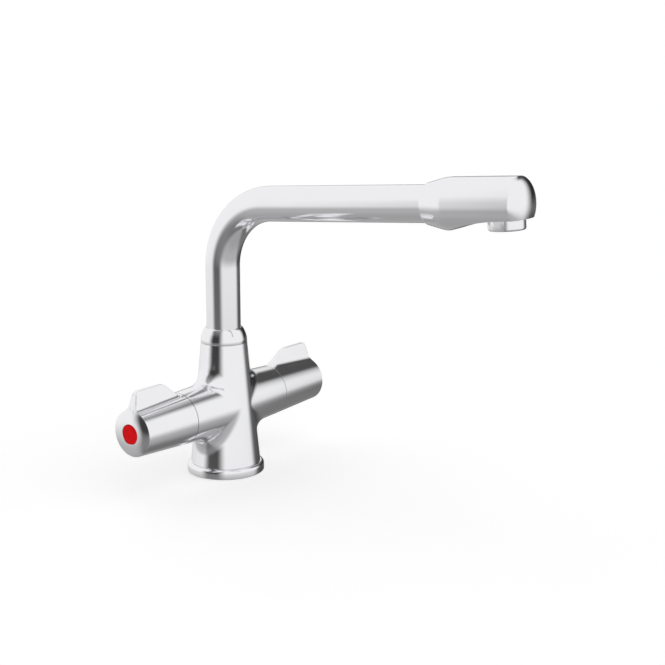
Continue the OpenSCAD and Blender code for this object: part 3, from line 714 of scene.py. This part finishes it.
def cut_flat(bm, at, way):
    """Cuts away what lies past a plane, closes the cut and gives back its edges."""
    cut = bmesh.ops.bisect_plane(bm, geom=everything(bm), dist=1e-5, plane_co=at, plane_no=way,
                                 clear_outer=True)
    rim = of_kind(cut["geom_cut"], bmesh.types.BMEdge)
    bmesh.ops.holes_fill(bm, edges=rim)
    return rim


# The crowned end, which meets the barrel at a crisp rim and is cut flat underneath.
rim_fall = math.sqrt(1 - (nose_r / crown_span) ** 2)
end_profile = [(0, dome_start), (nose_r, dome_start), (nose_r, dome_start + rim_step)]
for k in range(1, crown_rings + 1):
    r = nose_r * math.sin(math.radians(90 - 90 * k / crown_rings))
    bulge = nose_dome * (math.sqrt(1 - (r / crown_span) ** 2) - rim_fall) / (1 - rim_fall)
    end_profile.append((r, dome_start + rim_step + bulge))
end_bm = turned(end_profile, steps=192, closed=False)
cut_flat(end_bm, (0, -nose_flat, 0), (0, -1, 0))
bmesh.ops.recalc_face_normals(end_bm, faces=end_bm.faces)
piece(end_bm, "outlet_head_end", "spout", chrome, ["spout_nose"], crease=30, place=lay)


# Aerator
# A chromed collar with two flats for a spanner screws up into the head and holds a steel screen
# and a plastic flow straightener.
outlet_at = 208.0
aerator_r = 10.6
aerator_neck_r = 9.2
aerator_bore = 8.0
aerator_h = 6.2
aerator_round = 1.2
aerator_gap = 0.05
shoulder_edge = 0.15
mouth_r = aerator_bore - 1.0
mouth_edge = 0.2
mouth_h = 1.2
flats_at = 9.6
flats_edge = 0.15
bottom = nose_flat + aerator_h
shoulder = nose_flat + aerator_gap
thread_top = nose_flat - 5.0
# Down the water's way, with the aerator's flats to the left and right of the spout.
outlet_place = (Matrix.Translation((0, 0, spout_h)) @ Matrix.Rotation(-spout_rise, 4, "X")
                @ Matrix.Translation((0, -outlet_at, 0)) @ Matrix.Rotation(math.pi, 4, "X"))
collar_lathe = ([(aerator_bore, thread_top), (aerator_neck_r, thread_top), (aerator_neck_r, shoulder),
                 (aerator_r - shoulder_edge, shoulder), (aerator_r, shoulder + shoulder_edge)]
                + arc((aerator_r - aerator_round, bottom - aerator_round), aerator_round, 0, 90, 8)
                + [(mouth_r + mouth_edge, bottom), (mouth_r, bottom - mouth_edge),
                   (mouth_r, bottom - mouth_h), (aerator_bore, bottom - mouth_h)])
aerator_bm = turned(collar_lathe)
for side in (-1, 1):
    rim = cut_flat(aerator_bm, (side * flats_at, 0, 0), (side, 0, 0))
    bmesh.ops.bevel(aerator_bm, geom=rim, offset=flats_edge, segments=2, profile=0.5, affect="EDGES",
                    material=-1)
bmesh.ops.recalc_face_normals(aerator_bm, faces=aerator_bm.faces)
piece(aerator_bm, "aerator_collar", "spout", chrome, ["aerator_housing"], place=outlet_place)


# The flow straightener, moulded in white plastic, which shows in the collar's mouth.
white_plastic = two_tone("white_plastic", (0.82, 0.82, 0.8), (0.76, 0.76, 0.74), 800, 0.35)
finish(white_plastic, "aerator_insert")


# Lever heads
# A hollow chromed casting over each valve: a tapered barrel with a low crown within a crisp rim,
# and an upright wing to turn it by, which leans back at its end and has a 6 mm hollow at its foot.
lever_at = arm_len + 0.35
lever_rim = 85.3
lever_rim_r = 14.6
rim_edge = 0.2
crown_h = 2.3
crown_r = lever_rim_r - rim_edge
lever_slope = (arm_r - lever_rim_r) / (lever_rim - arm_len)
wing_top = 26.0
wing_half = 1.3
wing_taper = math.atan(0.18)
wing_hollow = 6.0
wing_edge = 0.25
wing_foot = arm_r - 0.08
ramp_at = arm_len + 1.5
shoulder_at = arm_len + 17.5
corner_r = 3.0
wing_lean_deg = 15
wing_lean = math.radians(wing_lean_deg)
corner_h = wing_top - corner_r
tip_h = corner_h + corner_r * math.sin(wing_lean)
tip_at = lever_rim - math.tan(wing_lean) * (tip_h - crown_r)
corner_at = tip_at - corner_r * math.cos(wing_lean)
bore_r = 13.75
bore_end = 59.0
spline_r = 4.05
web_at = 68.2
head_at = 71.4
screw_r = 2.05
head_bore_r = 4.1
pocket_at = 85.45
pocket_r = 6.3
pocket_edge = 0.15
seam_edge = 0.06
lip_edge = 0.035
barrel_points = 41
flank_points = 26
ramp_rings = 24


def half_section(barrel_r, crest):
    """Points (across, up) from the barrel's underside round to the middle of the wing's top."""
    out = np.array([math.cos(wing_taper), math.sin(wing_taper)])
    up = np.array([-out[1], out[0]])
    flank = wing_half * out[0] + wing_top * out[1]
    climb = math.sqrt((barrel_r + wing_hollow) ** 2 - (flank + wing_hollow) ** 2)
    middle = out * (flank + wing_hollow) + up * climb
    foot = math.atan2(middle[1], middle[0])
    points = [barrel_r * np.array([math.cos(a), math.sin(a)])
              for a in np.linspace(-math.pi / 2, foot, barrel_points)]
    edge_h = crest - wing_edge
    leave_h = middle[1] - wing_hollow * out[1]
    last = wing_taper if edge_h > leave_h else math.asin(min((middle[1] - edge_h) / wing_hollow, 1))
    round_len = wing_hollow * (foot - last)
    whole = round_len + max(edge_h - leave_h, 0) / up[1]
    for k in range(1, flank_points + 1):
        along = whole * k / flank_points
        a = math.pi + foot - min(along, round_len) / wing_hollow
        points.append(middle + wing_hollow * np.array([math.cos(a), math.sin(a)])
                      + up * max(along - round_len, 0))
    edge = points[-1]
    way = np.array([-math.sin(last), math.cos(last)])
    corner = edge + way * (crest - edge[1]) / max(way[1], 0.5)
    inner = np.array([max(corner[0] - wing_edge, 0.2), crest])
    points += [(1 - k) ** 2 * edge + 2 * k * (1 - k) * corner + k * k * inner for k in (0.25, 0.5, 0.75, 1.0)]
    points += [np.array([inner[0] * k, crest]) for k in (0.66, 0.33, 0)]
    return np.array(points)


def lever_ring(barrel_at, crest_at, crest, grown):
    """A ring (along, across, up) of the skin. The wing grows out of the bare barrel with grown."""
    barrel_r = arm_r - lever_slope * (barrel_at - arm_len)
    half = half_section(barrel_r, crest)
    far = np.hypot(half[:, 0], half[:, 1])
    half *= (grown + (1 - grown) * barrel_r / far)[:, None]
    lift = np.clip((far - barrel_r) / max(crest - barrel_r, 0.01), 0, 1) * grown
    half = np.column_stack([barrel_at + (crest_at - barrel_at) * lift, half])
    return np.vstack([half, half[-2:0:-1] * (1, -1, 1)])


def hoop(like, radius, at):
    """A circle whose points stand in the same directions as those of a ring."""
    far = np.hypot(like[:, 1], like[:, 2])
    return np.column_stack([np.full(len(like), at), like[:, 1] / far * radius, like[:, 2] / far * radius])


def end_face(ring):
    """Moves a ring's points along the arm onto the crowned end and the wing's leaning end."""
    far = np.hypot(ring[:, 1], ring[:, 2])
    crown = lever_rim + crown_h * (1 - (far / crown_r) ** 4)
    lean = lever_rim - math.tan(wing_lean) * (far - crown_r)
    return np.column_stack([np.where(far < crown_r, crown, lean), ring[:, 1:]])


# Where each ring stands along the wing's top, how high the wing is there, and how far it has grown
# out of the barrel.
stations = [(lever_at + seam_edge, wing_foot, 0.0), (ramp_at, wing_foot, 0.0)]
for k in range(1, ramp_rings + 1):
    way = k / ramp_rings
    swell = min(way * 4, 1)
    stations.append((ramp_at + (shoulder_at - ramp_at) * way,
                     wing_foot + (wing_top - wing_foot) * way * way * (3 - 2 * way),
                     swell ** 2 * (3 - 2 * swell)))
stations += [(at, wing_top, 1.0) for at in np.linspace(shoulder_at, corner_at, 13)[1:]]
for a in np.radians(np.linspace(90, wing_lean_deg, 11)[1:]):
    stations.append((corner_at + corner_r * math.cos(a), corner_h + corner_r * math.sin(a), 1.0))
skin = [lever_ring(lever_at + (at - lever_at) * (lever_rim - lever_at) / (tip_at - lever_at),
                   at, crest, grown) for at, crest, grown in stations]

# The crisp edge round the end, and the crown within it down to the index disc's pocket.
outline = skin.pop()
ahead = np.roll(outline, -1, 0) - np.roll(outline, 1, 0)
inward = np.column_stack([np.zeros(len(ahead)), -ahead[:, 2], ahead[:, 1]])
inward /= np.linalg.norm(inward, axis=1, keepdims=True)
skin += [outline - (2 * rim_edge, 0, 0), outline - (rim_edge, 0, 0)]
for a in (30, 60):
    skin.append(outline - (rim_edge * (1 - math.sin(math.radians(a))), 0, 0)
                + inward * rim_edge * (1 - math.cos(math.radians(a))))
inset = outline + inward * rim_edge
far = np.hypot(inset[:, 1], inset[:, 2])
for share in (0, 0.02, 0.06, 0.11, 0.17, 0.24, 0.32, 0.42, 0.54, 0.68, 0.84, 1):
    skin.append(end_face(hoop(inset, far + (pocket_r + pocket_edge - far) * share, 0)))
pocket_mouth = skin[-1][0][0]
skin += [hoop(inset, pocket_r, pocket_mouth - pocket_edge), hoop(inset, pocket_r, pocket_at)]

# The bores behind the pocket, back to the mouth that faces the body's arm.
inside = [hoop(inset, r, at)
          for r, at in ((head_bore_r, pocket_at), (head_bore_r, head_at), (screw_r, head_at),
                        (screw_r, web_at), (spline_r, web_at), (spline_r, bore_end), (bore_r, bore_end))]
mouth = hoop(skin[0], bore_r, lever_at)
lip_r = arm_r - lever_slope * (lever_at - arm_len)
lip = [hoop(skin[0], lip_r - seam_edge, lever_at), hoop(skin[0], lip_r - lip_edge, lever_at + lip_edge)]
# Slot 1, on the mouth, the lip and the bores, paints them dark as shade inside the lever and its seam.
rings = [(mouth, 1), (lip[0], 1), (lip[1], 0)]
rings += [(ring, 0) for ring in skin]
rings += [(ring, 1) for ring in inside + [mouth]]


def lofted(rings):
    """Draws one closed skin through rings of points. Each ring names the material slot up to it."""
    bm = bmesh.new()
    order = bm.verts.layers.int.new("order")
    made = bmesh.ops.create_circle(bm, segments=len(rings[0][0]), radius=1)["verts"]
    for i, v in enumerate(made):
        v[order] = i
        v.co = rings[0][0][i]
    rim = bm.edges[:]
    for ring, slot in rings[1:]:
        grown = bmesh.ops.extrude_edge_only(bm, edges=rim)["geom"]
        fresh = set(of_kind(grown, bmesh.types.BMVert))
        for v in fresh:
            v.co = ring[v[order]]
        rim = [e for e in of_kind(grown, bmesh.types.BMEdge) if fresh.issuperset(e.verts)]
        for f in {f for e in rim for f in e.link_faces}:
            f.material_index = slot
    bmesh.ops.remove_doubles(bm, verts=bm.verts, dist=1e-5)
    bmesh.ops.recalc_face_normals(bm, faces=bm.faces)
    return bm


# The index discs, red for hot and blue for cold, pressed into the levers' ends and slightly bowed.
index_r = 6.2
index_top = 87.45
index_edge = 0.4
index_bow = 0.05
disc_profile = ([(0, pocket_at), (index_r, pocket_at)]
                + arc((index_r - index_edge, index_top - index_edge), index_edge, 0, 90, 6)
                + [(4, index_top + 0.03), (2, index_top + index_bow), (0, index_top + index_bow)])
index_plastic = {}
for colour, tint in (("red", (0.8, 0.003, 0.006)), ("blue", (0.01, 0.05, 0.6))):
    material = two_tone(colour + "_plastic", tint, tuple(0.85 * n for n in tint), 500, 0.35, grain=0.03)
    material.node_tree.nodes["Principled BSDF"].inputs["Specular IOR Level"].default_value = 0.05
    index_plastic[colour] = material
for side, word, colour in ((-1, "hot", "red"), (1, "cold", "blue")):
    place = Matrix.Translation((0, 0, arm_h)) @ Matrix.Diagonal((side, 1, 1, 1))
    lever = piece(lofted(rings), word + "_lever", word + "_head", chrome, [word + "_handle"],
                  crease=40, place=place)
    # The second slot is the dull casting, painted dark as the shade in the bores and the seam.
    lever.data.materials.append(dull_casting_painted_shade)
    out = Matrix.Translation((0, 0, arm_h)) @ Matrix.Rotation(side * math.pi / 2, 4, "Y")
    piece(turned(disc_profile, closed=False), word + "_index_disc", word + "_head", index_plastic[colour],
          [word + "_index"], crease=60, place=out)
